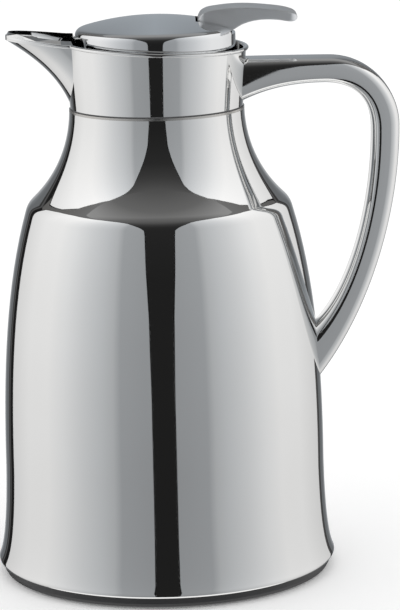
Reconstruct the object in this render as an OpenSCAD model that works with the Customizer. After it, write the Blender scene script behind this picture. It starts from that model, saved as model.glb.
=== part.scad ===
// Vacuum carafe for coffee: polished steel double-walled body, beaked collar,
// D-shaped handle and a push-in stopper lid whose thumb lever lifts the pouring valve.
// Millimetres. Z is up, the spout points to -X and the handle to +X.
// The origin is the centre of the face that the carafe rests on.

/* [Body] */
// Largest diameter, across the flared foot of the shell
base_d = 148; // [120:1:185]
// Diameter of the straight lower body
waist_d = 139.6; // [115:0.2:172]
// Height at which the straight lower body ends
waist_z = 48; // [40:1:60]
// Diameter at the shoulder corner
shoulder_d = 115.6; // [95:0.2:138]
// Height of the shoulder corner
shoulder_z = 160; // [133:1:192]
// Outer diameter of the neck
neck_d = 75.6; // [63:0.2:90]
// Height from the shoulder corner to the top of the shell
neck_h = 43.2; // [38:0.2:52]
// Thickness of the steel shell
shell_t = 0.8; // [0.6:0.1:1.2]
// Radius of the rounded lower edge of the shell
curl_r = 1.5; // [1:0.1:2]

/* [Liner] */
// Vacuum gap between the liner and the straight body
vacuum_gap = 9; // [7:0.5:11]
// Thickness of the steel liner
liner_t = 0.7; // [0.5:0.1:1]
// Distance from the outside of the neck in to the mouth
neck_wall = 4.7; // [4.2:0.1:6]
// Length of the straight mouth
mouth_h = 19; // [17:0.5:24]
// Thickness of the flange that joins the liner to the shell
flange_t = 1; // [0.8:0.1:1.5]
// Thickness of the foil wrapped round the liner
foil_t = 0.3; // [0.2:0.1:0.5]

/* [Base] */
// Height of the black cap below the steel shell
cap_h = 5.2; // [4:0.2:8]
// Thickness of the cap's floor
cap_floor_t = 2; // [1.5:0.1:3]
// Distance from the foot's edge in to the rubber foot pad
pad_inset = 12; // [8:1:30]
// Thickness of the foot pad
pad_t = 1.6; // [1.2:0.1:2]
// How far the pad stands below the cap
pad_proud = 0.6; // [0.4:0.1:1]
// Height of the steel bottom that closes the shell
bottom_z = 9; // [8:0.2:12]
// Diameter of the getter cup
getter_d = 16; // [10:1:22]

/* [Collar] */
// Height of the collar at its middle, from seam to rim
collar_h = 27; // [24:0.2:32]
// Thickness of the collar's wall
collar_t = 1.2; // [1:0.1:1.3]
// How far the collar's rim stands out past the neck
rim_flare = 1.4; // [1:0.1:4]
// How far the collar's lower edge is set in from the neck
seam_step = 0.5; // [0.2:0.1:0.7]
// Fall of the rim towards the handle, per unit of length
rim_slope = 0.045; // [0:0.005:0.08]
// Thickness of the rolled bead along the rim
bead_d = 1.7; // [1.2:0.1:2]
// Thickness of the gasket under the collar
gasket_t = 0.6; // [0.4:0.1:1]
// Height of the ring that holds the collar to the neck
neck_ring_h = 7; // [5:0.5:9]

/* [Spout] */
// Distance from the rim to the tip of the beak
spout_length = 25.2; // [17:0.2:35]
// Half of the spout's width where it leaves the collar
spout_half_w = 17; // [14:0.2:20]
// Rise of the spout's edge from the collar to the tip
spout_rise = 3.1; // [2:0.1:6]
// Height of the beak's lip at the tip
spout_lip = 2; // [1.5:0.1:3]

/* [Handle] */
// Distance from the straight body to the back of the grip
grip_reach = 34.6; // [28:0.2:42]
// Width of the handle, measured across the body
handle_w = 18; // [15:0.5:24]
// Thickness of the grip, from the fingers to the back
grip_t = 12; // [10:0.5:14]
// Height of the handle's root on the collar
root_h = 18.9; // [16:0.2:22]
// Depth of the handle's top below the rim
root_drop = 6.9; // [5:0.2:9]
// Height of the middle of the handle's lower foot
foot_z = 95; // [80:1:110]
// Height of the lower foot where it meets the body
foot_h = 21; // [18:0.5:26]
// Diameter of the handle's screws
handle_screw_d = 3; // [2.5:0.5:4]
// Height of the bracket that holds the lower foot
bracket_h = 8; // [6:0.5:9]

/* [Stopper] */
// Gap between the rim and the lid's skirt
lid_gap = 4.7; // [3.9:0.1:5.4]
// Height of the lid's edge above the middle of the rim
lid_edge_h = 6.4; // [5:0.2:8]
// Rise of the lid's dome above its edge
dome_h = 5.3; // [4.6:0.1:6.5]
// Radius of the lid's rounded edge
lid_round = 3; // [2:0.2:3.4]
// Thickness of the lid's cover
cover_t = 1; // [0.8:0.1:1.2]
// Depth of the lid's skirt below its edge
skirt_h = 14; // [12:0.5:16]
// Depth that the stopper reaches below the neck's top
stopper_depth = 19.2; // [18:0.2:22]
// Radial gap between the stopper and the mouth
stopper_gap = 1.6; // [1.2:0.1:2.2]
// Radial running gap between the seal's lips and the mouth
seal_fit = 0.1; // [0.05:0.01:0.1]
// Thickness of the stopper's walls
stopper_t = 2; // [1.6:0.1:2.4]
// Diameter of the pouring duct
duct_d = 26; // [22:0.5:28]
// Radial gap between the valve's disc and the duct
disc_gap = 1.5; // [1.2:0.1:2.5]
// How far the valve's disc laps over its seat
seat_lap = 2; // [1.6:0.1:3]
// Width of the pouring window in the lid
window_w = 33; // [24:0.5:36]
// Height of the pouring window in the lid
window_h = 11; // [8:0.2:12]

/* [Lever] */
// Width of the thumb lever
lever_w = 20; // [16:0.5:22]
// How far the lever lies in over the lid
lever_bed = 16.2; // [14.5:0.1:18]
// How far the lever's thumb end stands out past the lid
lever_reach = 26.5; // [20:0.5:36]
// Height of the lever's crown above the lid's edge
lever_crown = 8.9; // [8:0.1:10]
// Distance from the lid's side in to the lever's pin
pivot_inset = 5; // [4.8:0.1:6]
// Depth of the lever's pin below the lid's edge
pivot_drop = 4.2; // [4:0.1:4.6]
// Diameter of the lever's pin
pin_d = 2.5; // [2:0.1:2.8]
// Radial running gap of the lever on its pin
pin_fit = 0.05; // [0.02:0.01:0.1]
// Gap beside the lever in the lid's slot
slot_gap = 0.5; // [0.4:0.1:0.8]
// Thickness of the tongue that lifts the valve
tongue_t = 2; // [1.6:0.1:2.2]

/* [Valve] */
// Diameter of the valve's stem
stem_d = 6; // [5:0.1:7]
// Radial running gap of the stem in its guide
stem_fit = 0.05; // [0.02:0.01:0.1]
// Thickness of the valve's disc
disc_t = 2; // [1.5:0.1:3]
// Thickness of the valve's gasket
valve_gasket_t = 1.2; // [1:0.1:1.6]
// Radial gap between the stem and its spring
spring_gap = 2.5; // [1.8:0.1:3.5]
// Diameter of the spring's wire
wire_d = 1; // [0.8:0.1:1.2]
// Turns of the spring
spring_turns = 6; // [4:0.5:8]
// Length of the fitted spring
spring_len = 20; // [16:0.5:22]

/* [Hidden] */
$fn = 96;

// Small clearances
fit = 0.1;
contact_gap = 0.3;
cut = 1;

// Body radii and heights
base_r = base_d / 2;
waist_r = waist_d / 2;
shoulder_r = shoulder_d / 2;
neck_r = neck_d / 2;
mouth_r = neck_r - neck_wall;
pad_r = base_r - pad_inset;
shell_top = shoulder_z + neck_h;
flange_top = shell_top + flange_t;
seam_z = flange_top + gasket_t;

// Collar
rim_r = neck_r + rim_flare;
spout_reach = rim_r + spout_length;
seam_r = neck_r - seam_step;
rim_z = seam_z + collar_h;
ring_r = seam_r - collar_t;

// Lid and stopper
lid_r = rim_r - lid_gap;
edge_z = rim_z + lid_edge_h;
crown_z = edge_z + dome_h;
skirt_z = edge_z - skirt_h;
cover_in = lid_r - cover_t;
drum_r = cover_in - contact_gap;
drum_top = edge_z - 1.3;
plug_r = mouth_r - stopper_gap;
plug_z = shell_top - stopper_depth;
seat_z = plug_z + 4;
duct_r = duct_d / 2;
drum_floor = edge_z - 9.2;
channel_top = drum_floor;
plate_t = 2;
bay_z = drum_floor + plate_t;
channel_z = drum_floor - 7;
drum_z = channel_z - 3;
foam_top = drum_z - stopper_t;
port_top = edge_z - 2.7;
port_half_w = window_w / 2;
bay_half_w = lever_w / 2 + slot_gap + 0.9;
slot_floor = drum_top - 1.1;
screw_ring = lid_r - 9.5;
seal_z = plug_z + 8;
seal_h = 8;
groove_depth = 1.5;

// Valve
stem_r = stem_d / 2;
disc_r = duct_r - disc_gap;
seat_r = disc_r - seat_lap;
spring_r = stem_r + spring_gap + wire_d / 2;
pivot_x = lid_r - pivot_inset;
lever_in = lid_r - lever_bed;
lever_out = lid_r + lever_reach;
gasket_z = seat_z + fit;
disc_z = gasket_z + valve_gasket_t;
stem_z = disc_z + disc_t;
pivot_z = edge_z - pivot_drop;
tongue_top = pivot_z + 1.7;
nut_z = tongue_top + contact_gap;
nut_t = 1.2;
nut_r = stem_r + 4;
spring_top = drum_floor - fit;
retainer_t = 1.2;

// Handle
handle_top = rim_z - root_drop;
grip_back = waist_r + grip_reach;
grip_front = grip_back - grip_t;

// Cubic curve through four control points, in n steps
function bez(p, n) = [
  for (i = [0:n]) let (t = i / n, s = 1 - t)
    s * s * s * p[0] + 3 * s * s * t * p[1] + 3 * s * t * t * p[2] + t * t * t * p[3]
];
function rest(a) = [for (i = [1:len(a) - 1]) a[i]];
function flip(a) = [for (i = [len(a) - 1:-1:0]) a[i]];
function unit(v) = v / norm(v);
// Unit normal on the left of an outline at point i
function side(a, i) = let (
    p = a[max(0, i - 1)],
    q = a[min(len(a) - 1, i + 1)],
    d = unit(q - p)
  ) [-d[1], d[0]];
function inset(a, t) = [for (i = [0:len(a) - 1]) a[i] + t * side(a, i)];
function strip(a, t) = concat(a, flip(inset(a, t)));
function swap(a) = [for (p = a) [p[1], p[0]]];

// Outer outline of the body, from its lower edge up to the neck
function body_line(steps = 10) = concat(
  bez([
    [base_r - curl_r, cap_h],
    [base_r - curl_r * 0.45, cap_h],
    [base_r, cap_h + curl_r * 0.45],
    [base_r, cap_h + curl_r]
  ], 4),
  rest(bez([
    [base_r, cap_h + curl_r],
    [base_r - 1.8, cap_h + curl_r + 3.8],
    [waist_r + 0.4, cap_h + 15],
    [waist_r, waist_z]
  ], steps)),
  rest(bez([
    [waist_r, waist_z],
    [waist_r, waist_z + 42],
    [shoulder_r + 9.5, shoulder_z - 32],
    [shoulder_r, shoulder_z]
  ], steps + 2)),
  rest(bez([
    [shoulder_r, shoulder_z],
    [shoulder_r - 0.8, shoulder_z + 2.7],
    [shoulder_r - 1.9, shoulder_z + 3.9],
    [shoulder_r - 3.6, shoulder_z + 5.5]
  ], 4)),
  rest(bez([
    [shoulder_r - 3.6, shoulder_z + 5.5],
    [shoulder_r - 11.8, shoulder_z + 13.5],
    [neck_r + 0.5, shoulder_z + neck_h * 0.6],
    [neck_r, shell_top]
  ], steps))
);
body_table = swap(body_line());
function body_r(z) = lookup(z, body_table);
// Level thickness of the shell's wall, which grows where the body leans
function wall_across(z) = shell_t * sqrt(1 + pow(body_r(z - 0.5) - body_r(z + 0.5), 2));

// Outer outline of the liner, from the middle of its floor up to the mouth
liner_floor = bottom_z + 8;
liner_r = waist_r - shell_t - vacuum_gap;
liner_neck_r = mouth_r + liner_t;
mouth_z = flange_top - mouth_h;
function liner_line() = concat(
  [[0, liner_floor], [liner_r - 14, liner_floor]],
  rest(bez([
    [liner_r - 14, liner_floor],
    [liner_r - 5, liner_floor],
    [liner_r, liner_floor + 5],
    [liner_r, liner_floor + 14]
  ], 6)),
  rest(bez([
    [liner_r, waist_z],
    [liner_r, waist_z + 42],
    [shoulder_r + 1, shoulder_z - 40],
    [shoulder_r - 9.5, shoulder_z - 5]
  ], 10)),
  rest(bez([
    [shoulder_r - 9.5, shoulder_z - 5],
    [shoulder_r - 13, shoulder_z + 7],
    [liner_neck_r, mouth_z - 14],
    [liner_neck_r, mouth_z]
  ], 8)),
  [[liner_neck_r, flange_top - flange_t]]
);

// Collar radius at a height
function collar_r(z) = seam_r + (rim_r - seam_r) * (z - seam_z) / collar_h;

// A beam with a rounded oblong outline, used as a cutter along X
module rounded_cutter(x0, x1, w, z0, z1, r) {
  translate([x0, 0, z0])
    rotate([90, 0, 90])
      linear_extrude(x1 - x0)
        round_box([w, z1 - z0], r);
}

// Rounded rectangle, centred across and standing on the first axis
module round_box(s, r) {
  translate([-s[0] / 2, r]) square([s[0], s[1] - 2 * r]);
  translate([-s[0] / 2 + r, 0]) square([s[0] - 2 * r, s[1]]);
  for (x = [-1, 1], y = [r, s[1] - r])
    translate([x * (s[0] / 2 - r), y]) circle(r, $fn = 32);
}

module ring(r_in, r_out, z0, z1) {
  translate([0, 0, z0])
    difference() {
      cylinder(r = r_out, h = z1 - z0);
      translate([0, 0, -cut]) cylinder(r = r_in, h = z1 - z0 + 2 * cut);
    }
}

module disc(r, z0, z1) {
  translate([0, 0, z0]) cylinder(r = r, h = z1 - z0);
}

// Solid through closed loops of equal length. Mirrored loops, with an even number of
// points, get caps made of triangles across the mirror plane, so they need not be flat.
module loft(loops, mirrored = false) {
  n = len(loops[0]);
  m = len(loops);
  strips = [
    for (k = [0:n / 2 - 2], side = [0, 1])
      side == 0 ? [k, k + 1, n - 1 - k] : [k + 1, n - 2 - k, n - 1 - k]
  ];
  cap = mirrored ? strips : [[for (i = [0:n - 1]) i]];
  last = (m - 1) * n;
  polyhedron(
    points = [for (l = loops, p = l) p],
    faces = concat(
      cap,
      [for (j = [0:m - 2], i = [0:n - 1]) let (k = (i + 1) % n)
        [j * n + k, j * n + i, (j + 1) * n + i]],
      [for (j = [0:m - 2], i = [0:n - 1]) let (k = (i + 1) % n)
        [j * n + k, (j + 1) * n + i, (j + 1) * n + k]],
      [for (f = cap) [for (i = [len(f) - 1:-1:0]) last + f[i]]]
    )
  );
}

/* ---- Body ---- */

module outer_shell() {
  color("silver")
    rotate_extrude()
      polygon(strip(body_line(), shell_t));
}

// Steel dish welded into the shell; it closes the vacuum space from below
module shell_bottom() {
  color("gray")
    difference() {
      rotate_extrude()
        polygon(concat(
          [[0, bottom_z]],
          [for (i = [0:6]) [body_r(bottom_z + i) - wall_across(bottom_z + i) - 2 * fit, bottom_z + i]],
          [
            [body_r(bottom_z + 6) - wall_across(bottom_z + 6) - 1.2, bottom_z + 6],
            [body_r(bottom_z + 6) - wall_across(bottom_z + 6) - 3, bottom_z + 1], [0, bottom_z + 1]
          ]
        ));
      translate([0, 0, bottom_z - cut]) cylinder(r = 1.5, h = 4);
    }
}

module inner_liner() {
  line = liner_line();
  color("lightgray")
    rotate_extrude()
      polygon(concat(
        line,
        [[neck_r, flange_top - flange_t], [neck_r, flange_top], [mouth_r, flange_top]],
        flip([for (i = [1:len(line) - 2]) line[i] + liner_t * side(line, i)]),
        [[0, liner_floor + liner_t]]
      ));
}

// Foil wrapped round the straight part of the liner, against radiated heat
module foil_wrap() {
  color("gold")
    ring(liner_r + fit, liner_r + fit + foil_t, liner_floor + 20, waist_z);
}

module getter() {
  color("dimgray")
    translate([getter_d * 1.5, 0, bottom_z + 1]) cylinder(d = getter_d, h = 4);
}

// Sealing button over the hole that the air was drawn out of
module evacuation_seal() {
  color("darkgray") {
    disc(5, bottom_z - 1.4, bottom_z);
    disc(1.4, bottom_z, bottom_z + 2);
  }
}

module base_cap() {
  inner = body_r(bottom_z) - shell_t - 3;
  color("black")
    difference() {
      rotate_extrude()
        polygon([
          [0, pad_proud], [base_r - curl_r - 2.4, pad_proud],
          [base_r - curl_r - 1.4, pad_proud + 0.6], [base_r - curl_r - 0.6, cap_h / 2],
          [base_r - curl_r, cap_h], [base_r - curl_r - shell_t - 0.6, cap_h],
          [inner, cap_h + 0.4], [inner, bottom_z - 0.2], [inner - 2, bottom_z - 0.2],
          [inner - 2, pad_proud + cap_floor_t + 1], [0, pad_proud + cap_floor_t + 1]
        ]);
      disc(pad_r + fit, pad_proud - cut, pad_t);
    }
}

module foot_pad() {
  color("dimgray") disc(pad_r, 0, pad_t);
}

/* ---- Collar and handle ---- */

module neck_ring() {
  color("silver") ring(mouth_r, ring_r, flange_top, seam_z + neck_ring_h);
}

module collar_gasket() {
  color("black") ring(ring_r + fit, seam_r, flange_top, seam_z);
}

tip_z = rim_z + rim_slope * rim_r + spout_rise;
foot_of_keel = seam_z + 0.7;
spout_steps = 12;
spout_back = rim_r - 13.2;
// Outline of the spout's keel, from the collar's foot to the tip
keel = bez([
  [seam_r - 0.4, foot_of_keel],
  [seam_r + 3.7, seam_z + 11.2],
  [seam_r + 10.7, seam_z + 19.7],
  [spout_reach, tip_z - spout_lip]
], spout_steps);
// Height of the spout's edge at a distance from the axis
function spout_edge(x) = x < rim_r
  ? rim_z + rim_slope * x
  : rim_z + rim_slope * rim_r + spout_rise * (x - rim_r) / (spout_reach - rim_r);
// One section of the spout, set in by t; the last one is its open edge
function spout_loop(level, t) = let (
    k = keel[min(level, spout_steps)],
    v = level > spout_steps ? 1 : (k[1] - foot_of_keel) / (spout_edge(k[0]) - foot_of_keel),
    w = spout_half_w * pow(1 - 0.98 * pow(1 - v, 6), 0.4) - t,
    n = k[0] - t
  ) [
    for (i = [8.5:-1:-8.5]) let (
        a = i / 8.5 * 90,
        x = spout_back + (n - spout_back) * cos(a)
      )
      [-x, w * sin(a), foot_of_keel + (t > 0 ? 1.5 : 0) + v * (spout_edge(x) - foot_of_keel)]
  ];
module spout_solid(t) {
  loft([for (j = [0:spout_steps + 1]) spout_loop(j, t)], true);
}

// Polished collar: flared ring with a rolled bead, opened into the spout
module collar() {
  bore_z = seam_z + neck_ring_h;
  color("silver")
    difference() {
      union() {
        difference() {
          rotate_extrude()
            polygon([
              [0, seam_z], [seam_r, seam_z],
              [collar_r(rim_z + 4), rim_z + 4], [0, rim_z + 4]
            ]);
          translate([0, 0, rim_z])
            rotate([0, atan(rim_slope), 0])
              translate([-2 * rim_r, -2 * rim_r, 0]) cube([4 * rim_r, 4 * rim_r, rim_r]);
        }
        spout_solid(0);
        translate([0, 0, rim_z - bead_d / 2])
          rotate([0, atan(rim_slope), 0])
            rotate_extrude()
              translate([rim_r, 0]) circle(d = bead_d, $fn = 32);
      }
      rotate_extrude()
        polygon([
          [0, seam_z - cut], [ring_r, seam_z - cut], [ring_r, bore_z],
          [collar_r(bore_z) - collar_t, bore_z],
          [collar_r(rim_z + 8) - collar_t, rim_z + 8], [0, rim_z + 8]
        ]);
      spout_solid(collar_t);
      upper_screws(handle_screw_d / 2 + fit);
    }
}

// Outer and inner outlines of the handle, from the collar round to the lower foot
foot_r = body_r(foot_z);
function back_line() = concat(
  bez([
    [seam_r - 1, handle_top], [seam_r + 12, handle_top],
    [seam_r + 24, handle_top], [waist_r + 5.2, handle_top - 0.2]
  ], 6),
  rest(bez([
    [waist_r + 5.2, handle_top - 0.2], [grip_back - 12.4, handle_top - 0.6],
    [grip_back, handle_top - 15], [grip_back, handle_top - 30]
  ], 12)),
  rest(bez([
    [grip_back, handle_top - 30], [grip_back, handle_top - 65.6],
    [foot_r + 24, foot_z + 19], [foot_r - 1.5, foot_z - foot_h / 2 - 2]
  ], 16))
);
function front_line() = concat(
  bez([
    [seam_r - 1, handle_top - root_h], [seam_r + 10, handle_top - root_h + 5.3],
    [seam_r + 21, handle_top - grip_t + 0.7], [waist_r + 3.2, handle_top - grip_t + 0.6]
  ], 6),
  rest(bez([
    [waist_r + 3.2, handle_top - grip_t + 0.6], [grip_front - 6.4, handle_top - grip_t],
    [grip_front, handle_top - grip_t - 7.6], [grip_front, handle_top - 31.6]
  ], 12)),
  rest(bez([
    [grip_front, handle_top - 31.6], [grip_front, handle_top - 65.6],
    [foot_r + 14, foot_z + 27], [foot_r - 3, foot_z + foot_h / 2 + 1]
  ], 16))
);
// Oval section of the handle at one pair of outline points
function handle_loop(p, q) = let (m = (p + q) / 2, h = (p - q) / 2) [
    for (i = [0:15]) let (
        a = i * 22.5,
        c = sign(cos(a)) * pow(abs(cos(a)), 0.75),
        s = sign(sin(a)) * pow(abs(sin(a)), 0.75)
      )
      [m[0] + h[0] * c, handle_w / 2 * s, m[1] + h[1] * c]
  ];
head_r = handle_screw_d * 0.75;
head_t = 0.9;
upper_screw_z = [handle_top - 5.5, seam_z + neck_ring_h + head_r + 0.2];
upper_screw_l = 8;
// Shanks of the upper screws, from the collar's bore out into the handle's root
module upper_screws(r) {
  for (z = upper_screw_z)
    translate([head_seat(z), 0, z]) rotate([0, 90, 0]) cylinder(r = r, h = upper_screw_l, $fn = 32);
}
// Where a screw's head seats against the collar's bore
function head_seat(z) = collar_r(z - head_r) - collar_t - fit;

module body_solid() {
  rotate_extrude()
    polygon(concat([[0, cap_h]], body_line(), [[0, shell_top]]));
}
module collar_solid() {
  rotate_extrude()
    polygon([
      [0, seam_z - 6], [seam_r, seam_z - 6], [seam_r, seam_z],
      [collar_r(rim_z), rim_z], [0, rim_z]
    ]);
}

module handle() {
  back = back_line();
  front = front_line();
  color("silver")
    difference() {
      loft([for (i = [0:len(back) - 1]) handle_loop(back[i], front[i])]);
      body_solid();
      collar_solid();
      bracket_block(fit);
      upper_screws(handle_screw_d / 2);
      lower_screw();
    }
}

bracket_l = 3.6;
bracket_w = 9;
bracket_z = foot_z + 2;
module bracket_block(g) {
  translate([foot_r - 4, -bracket_w / 2 - g, bracket_z - bracket_h / 2 - g])
    cube([4 + bracket_l + g, bracket_w + 2 * g, bracket_h + 2 * g]);
}

// Steel block welded to the shell, inside the handle's lower foot
module handle_bracket() {
  color("gray")
    difference() {
      bracket_block(0);
      body_solid();
      lower_screw();
    }
}

// Screws that hold the handle's root, put in from inside the collar
module handle_screws_upper() {
  color("gray") {
    upper_screws(handle_screw_d / 2);
    for (z = upper_screw_z)
      translate([head_seat(z) - head_t, 0, z]) rotate([0, 90, 0]) cylinder(r = head_r, h = head_t, $fn = 32);
  }
}

// Screw through the lower foot and its bracket, from the far side
module lower_screw() {
  head_y = handle_w / 2 - 2.4;
  translate([foot_r + bracket_l * 0.55, 0, bracket_z])
    rotate([-90, 0, 0]) {
      translate([0, 0, 1 - bracket_w / 2]) cylinder(d = handle_screw_d - 1, h = bracket_w, $fn = 32);
      translate([0, 0, head_y]) cylinder(d = handle_screw_d + 0.4, h = 1.6, $fn = 32);
      translate([0, 0, head_y - 2]) cylinder(d = handle_screw_d - 1, h = 3, $fn = 32);
    }
}
module handle_screw_lower() {
  color("gray") lower_screw();
}

/* ---- Lid and stopper ---- */

// Dome height at a radius, for a surface lowered by t
dome_big_r = (lid_r * lid_r + dome_h * dome_h) / (2 * dome_h);
function dome(r, t) = crown_z - t - dome_big_r + sqrt(dome_big_r * dome_big_r - r * r);
function lid_line() = concat(
  [for (i = [0:8]) let (r = (lid_r - lid_round) * i / 8) [r, dome(r, 0)]],
  rest(bez([
    [lid_r - lid_round, dome(lid_r - lid_round, 0)],
    [lid_r - lid_round * 0.4, dome(lid_r - lid_round * 0.4, 0)],
    [lid_r, edge_z - lid_round * 0.2],
    [lid_r, edge_z - lid_round]
  ], 6)),
  [[lid_r, skirt_z]]
);

module lid_cover() {
  slot_half = lever_w / 2 + slot_gap;
  color("silver")
    difference() {
      union() {
        rotate_extrude()
          polygon(concat(lid_line(), [
            [cover_in, skirt_z], [cover_in, edge_z - lid_round],
            [lid_r - lid_round - 0.2, dome(lid_r - lid_round, cover_t)]
          ], [for (i = [7:-1:0]) let (r = (lid_r - lid_round) * i / 8) [r, dome(r, cover_t)]]));
        screw_spots() cylinder(r = 3, h = dome(screw_ring + 3, 0.4) - drum_top, $fn = 32);
      }
      translate([lever_in - 0.9, -slot_half, slot_floor]) cube([lid_r, 2 * slot_half, 20]);
      translate([0, 0, -0.1]) screw_spots() cylinder(d = 2.5, h = 2.5, $fn = 32);
      rounded_cutter(-lid_r - 5, -10, window_w + 2 * contact_gap, port_top - window_h, port_top + 0.6, 3.4);
    }
}

module screw_spots() {
  for (a = [-120, -60, 60, 120])
    rotate(a) translate([screw_ring, 0, drum_top]) children();
}

// Black moulding: plug with foam space and duct below, drum with the lever's bay above
module stopper_body() {
  color("black")
    difference() {
      union() {
        stopper_plug();
        pin_cheeks();
      }
      lever_pin_shape(0, drum_r);
    }
}

// Blocks on the bay's floor that carry the lever's pin beside its hub
module pin_cheeks() {
  cheek_in = hub_half + 0.3;
  intersection() {
    for (side = [-1, 1])
      translate([pivot_x - 2.6, side * (cheek_in + bay_half_w + 0.5) / 2, (bay_z - 0.5 + pivot_z) / 2])
        translate([0, -(bay_half_w + 0.5 - cheek_in) / 2, -(pivot_z - bay_z + 0.5) / 2])
          cube([5.2, bay_half_w + 0.5 - cheek_in, pivot_z - bay_z + 0.5]);
    disc(drum_r, drum_z, drum_top);
  }
}

module stopper_plug() {
  difference() {
    union() {
      disc(plug_r, seat_z, drum_z + 2);
      rotate_extrude()
        polygon([
          [0, drum_z], [drum_r, drum_z], [drum_r, edge_z - lid_round - contact_gap],
          [lid_r - lid_round - 2 * contact_gap, drum_top], [0, drum_top]
        ]);
    }
    ring(duct_r + stopper_t, plug_r - stopper_t, seat_z - cut, foam_top);
    disc(duct_r, seat_z - cut, channel_top);
    translate([-lid_r - 5, -port_half_w, channel_z]) cube([lid_r + 5, 2 * port_half_w, channel_top - channel_z]);
    rounded_cutter(-lid_r - 5, -12, 2 * port_half_w, channel_z, port_top, 3);
    translate([-nut_r - 1.5, -bay_half_w, bay_z]) cube([lid_r + 12, 2 * bay_half_w, 20]);
    disc(stem_r + stem_fit, channel_top - cut, bay_z + cut);
    ring(plug_r - groove_depth, plug_r + 5, seal_z, seal_z + seal_h);
    screw_spots()
      translate([0, 0, -20]) {
        cylinder(d = 3, h = 40, $fn = 32);
        translate([0, 0, 20 - (drum_top - foam_top) - cut]) cylinder(d = 5.6, h = 2.5 + cut, $fn = 32);
      }
  }
}

// Bottom of the stopper: closes the foam space and carries the valve's seat
module stopper_base() {
  color("black")
    difference() {
      union() {
        disc(plug_r, plug_z, seat_z);
        ring(duct_r + stopper_t + fit, duct_r + stopper_t + 2, seat_z, seat_z + 3);
        ring(plug_r - stopper_t - 2, plug_r - stopper_t - fit, seat_z, seat_z + 3);
      }
      disc(seat_r, plug_z - cut, seat_z + cut);
    }
}

module stopper_foam() {
  color("beige")
    ring(duct_r + stopper_t + 0.2, plug_r - stopper_t - 0.2, seat_z + 3.2, foam_top - 0.2);
}

// Silicone sleeve with two lips
module stopper_seal() {
  lip = mouth_r - seal_fit;
  groove_r = plug_r - groove_depth + seal_fit;
  color("dimgray")
    rotate_extrude()
      polygon([
        [groove_r, seal_z + fit], [plug_r, seal_z + fit],
        [lip, seal_z + 1.6], [lip, seal_z + 2.2], [plug_r, seal_z + 3.2],
        [plug_r, seal_z + 4], [lip, seal_z + 5.6], [lip, seal_z + 6.2],
        [plug_r, seal_z + seal_h - fit], [groove_r, seal_z + seal_h - fit]
      ]);
}

// Screws that hold the lid's cover down on the stopper
module lid_screws() {
  head_drop = drum_top - foam_top;
  color("gray")
    screw_spots() {
      translate([0, 0, 1.6 - head_drop]) cylinder(d = 2.5, h = head_drop + 0.4, $fn = 32);
      translate([0, 0, 0.4 - head_drop]) cylinder(d = 5, h = 1.4, $fn = 32);
    }
}

/* ---- Lever ---- */

module lever_pin_shape(g, half) {
  translate([pivot_x, 0, pivot_z])
    rotate([90, 0, 0]) cylinder(d = pin_d + 2 * g, h = 2 * half, center = true, $fn = 48);
}

module lever_pin() {
  half = sqrt(pow(drum_r, 2) - pow(pivot_x + pin_d / 2, 2));
  color("gray") lever_pin_shape(0, half - 0.2);
}

lever_top = edge_z + lever_crown;
hub_r = 3;
// Half of the hub's length, clear of the skirt that curves round its ends
hub_half = sqrt(pow(cover_in - contact_gap, 2) - pow(pivot_x + hub_r, 2));
// Side outline of the lever: crowned top, rounded ends, scooped underside and heel
function lever_line() = concat(
  bez([
    [lever_in, edge_z + 1.6], [lever_in, edge_z + 5.4],
    [lever_in + 1.6, lever_top - 2.1], [lever_in + 5, lever_top - 1.1]
  ], 6),
  rest(bez([
    [lever_in + 5, lever_top - 1.1], [lever_in + 15, lever_top + 0.4],
    [lever_out - 22, lever_top + 0.45], [lever_out - 9, lever_top - 1.2]
  ], 10)),
  rest(bez([
    [lever_out - 9, lever_top - 1.2], [lever_out - 5, lever_top - 1.7],
    [lever_out, lever_top - 3], [lever_out, lever_top - 4.6]
  ], 6)),
  rest(bez([
    [lever_out, lever_top - 4.6], [lever_out, lever_top - 6.4],
    [lever_out - 2.4, lever_top - 6.7], [lever_out - 5, lever_top - 6.2]
  ], 4)),
  rest(bez([
    [lever_out - 5, lever_top - 6.2], [lever_out - 14, lever_top - 4.4],
    [pivot_x + 9.6, lever_top - 5.6], [pivot_x + 5.4, lever_top - 8.6]
  ], 8)),
  rest(bez([
    [pivot_x + 5.4, lever_top - 8.6], [pivot_x + 4.2, lever_top - 9.3],
    [pivot_x + 2.6, lever_top - 10], [pivot_x + 1.4, pivot_z + 2.2]
  ], 4)),
  [[pivot_x - 5.5, pivot_z + 1.2], [pivot_x - 5.5, edge_z + 0.9], [lever_in + 0.8, edge_z + 0.9]]
);

module lever() {
  inner = stem_r + 2;
  color("silver")
    difference() {
      union() {
        intersection() {
          translate([0, lever_w / 2, 0])
            rotate([90, 0, 0]) linear_extrude(lever_w) polygon(lever_line());
          translate([lever_in, 0, 0])
            rotate(-90) linear_extrude(400) round_box([lever_w, lever_out - lever_in], 3.4);
        }
        translate([pivot_x, 0, pivot_z])
          rotate([90, 0, 0]) cylinder(r = hub_r, h = 2 * hub_half, center = true);
        translate([stem_r + 0.6, -inner, tongue_top - tongue_t])
          cube([pivot_x - stem_r - 0.6, 2 * inner, tongue_t]);
      }
      disc(stem_r + 0.5, tongue_top - tongue_t - cut, tongue_top + cut);
      translate([0, -stem_r - 0.5, tongue_top - tongue_t - cut])
        cube([nut_r + 3, 2 * stem_r + 1, tongue_t + 2 * cut]);
      lever_pin_shape(pin_fit, lever_w);
    }
}

/* ---- Valve ---- */

module valve_stem() {
  color("gray") disc(stem_r, disc_z + disc_t, nut_z + nut_t + 0.3);
}

// Flanged nut that the lever's tongue lifts
module stem_nut() {
  color("gray")
    difference() {
      disc(nut_r, nut_z, nut_z + nut_t);
      disc(stem_r, nut_z - cut, nut_z + nut_t + cut);
    }
}

module valve_disc() {
  color("black") disc(disc_r, disc_z, disc_z + disc_t);
}

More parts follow.
